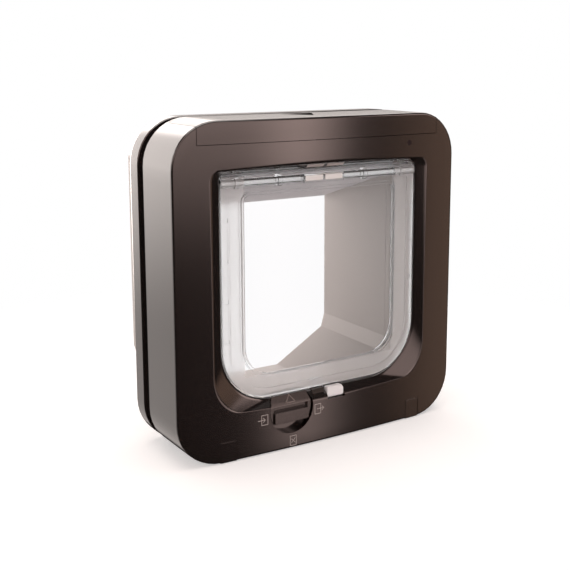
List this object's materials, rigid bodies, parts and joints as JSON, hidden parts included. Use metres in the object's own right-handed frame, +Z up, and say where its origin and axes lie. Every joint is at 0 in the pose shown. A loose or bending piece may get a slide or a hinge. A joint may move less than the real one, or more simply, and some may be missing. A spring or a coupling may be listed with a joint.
{
  "type": "cat flap",
  "caption": "Chip-reading cat flap: crowned indoor frame, clear hinged flap, sloping tunnel, outdoor frame, four-way lock knob and battery cover.",
  "frame": {"origin": "middle of the whole part's box in X and Y, at the underside of the frames", "axes": "+Z up, +X to the right seen from indoors, the indoor face looks along -Y and the tunnel points along +Y"},
  "size_m": [0.21, 0.123, 0.21],
  "materials": {
    "brown_case": "satin metallic dark brown moulding",
    "brown_knob": "satin metallic dark brown moulding",
    "tunnel_grey": "satin warm grey moulding",
    "pale_panel": "satin pale grey moulding",
    "black_foam": "closed-cell foam",
    "black_plastic": "matt black moulding",
    "cell_wrap": "plain dark sleeve",
    "steel": "plated steel",
    "white_plastic": "satin white moulding",
    "ivory_plastic": "satin ivory moulding",
    "lamp_clear": "clear lens",
    "board_green": "solder mask",
    "copper": "enamelled copper wire",
    "clear_flap": "clear polycarbonate with frosted border",
    "magnet_dark": "nickel-plated magnet in dark lacquer",
    "sensor_window": "smoked infrared window"
  },
  "bodies": {
    "casing": {"indoor_front_shell": "brown_case", "indoor_back_plate": "brown_case", "outdoor_frame": "brown_case", "screw_cover_left": "brown_case", "screw_cover_right": "brown_case", "passage_liner": "tunnel_grey", "tunnel": "tunnel_grey", "ceiling_panel": "pale_panel", "indoor_seal": "black_foam", "outdoor_seal": "black_foam", "battery_tray": "black_plastic", "battery_cells": "cell_wrap", "battery_contacts": "steel", "lamp_window": "lamp_clear", "circuit_board": "board_green", "aerial_coil": "copper", "frame_screws": "steel", "plate_screws": "steel", "bracket_screws": "steel", "sill_magnet": "magnet_dark", "flap_spindle": "steel", "spindle_bushes": "white_plastic", "sensor_windows": "sensor_window", "latch_motor": "steel", "mechanism_bracket": "black_plastic"},
    "flap": {"flap": "clear_flap", "flap_inserts": "white_plastic", "flap_magnet": "magnet_dark"},
    "lock": {"lock_knob": "brown_knob", "lock_disc": "black_plastic"},
    "latch": {"inward_latch": "ivory_plastic"},
    "pinion": {"latch_pinion": "white_plastic"},
    "battery_cover": {"battery_cover": "brown_case"},
    "learn_button": {"learn_button": "white_plastic"}
  },
  "joints": [
    {"name": "flap_swing", "type": "hinge", "parent": "casing", "child": "flap", "pos_m": [0, -0.0535, 0.172], "axis": [1, 0, 0], "range_deg": [-80, 70]},
    {"name": "lock_turn", "type": "hinge", "parent": "casing", "child": "lock", "pos_m": [-0.02665, -0.0575, 0.02605], "axis": [0, 1, 0], "continuous": true},
    {"name": "latch_lift", "type": "slide", "parent": "casing", "child": "latch", "axis": [0, 0, 1], "range_m": [0, 0.005]},
    {"name": "pinion_spin", "type": "hinge", "parent": "casing", "child": "pinion", "pos_m": [0.0167, -0.0535, 0.016], "axis": [0, 1, 0], "range_deg": [0, 57.5]},
    {"name": "cover_lift", "type": "slide", "parent": "casing", "child": "battery_cover", "axis": [0, 0, 1], "range_m": [0, 0.03]},
    {"name": "learn_press", "type": "slide", "parent": "casing", "child": "learn_button", "axis": [0, 0, -1], "range_m": [0, 0.0012], "stiffness_N_per_m": 300, "springref_m": -0.002}
  ],
  "couplings": [
    {"joint": "pinion_spin", "follows": "latch_lift", "rad_per_m": 200}
  ]
}
